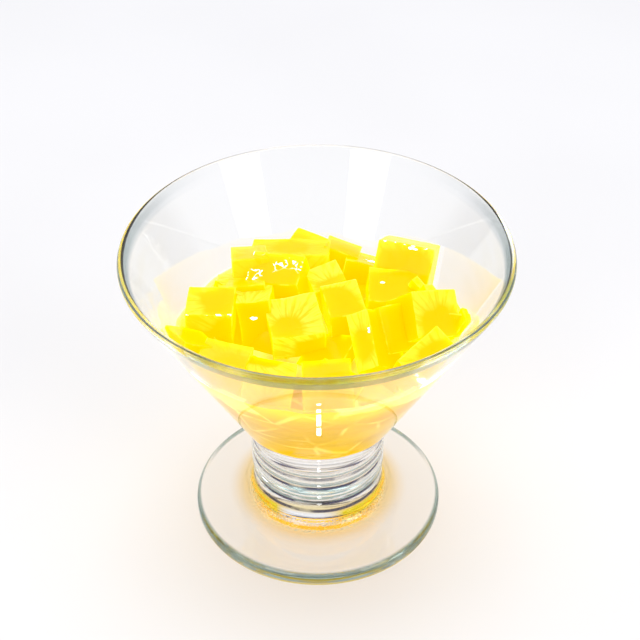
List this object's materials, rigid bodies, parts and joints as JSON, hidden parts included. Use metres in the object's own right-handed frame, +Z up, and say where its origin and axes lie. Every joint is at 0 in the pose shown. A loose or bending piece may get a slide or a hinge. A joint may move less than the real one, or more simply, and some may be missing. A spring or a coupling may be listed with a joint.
{
  "type": "diced yellow jelly in a footed dessert glass",
  "caption": "Conical dessert glass on a ringed stem and round foot, heaped with tumbled dice of translucent yellow jelly.",
  "frame": {"origin": "centre of the foot's underside", "axes": "+Z up along the glass's axis; -Y is the side nearest the viewer, +X to the viewer's right"},
  "size_m": [0.114, 0.114, 0.099],
  "materials": {
    "clear_glass": "clear pressed glass, fire-polished, faint green where thick",
    "yellow_jelly": "wet translucent jelly, cut faces paler and streaky"
  },
  "bodies": {
    "root": {"glass": "clear_glass", "jelly_heap": "yellow_jelly"}
  },
  "joints": []
}
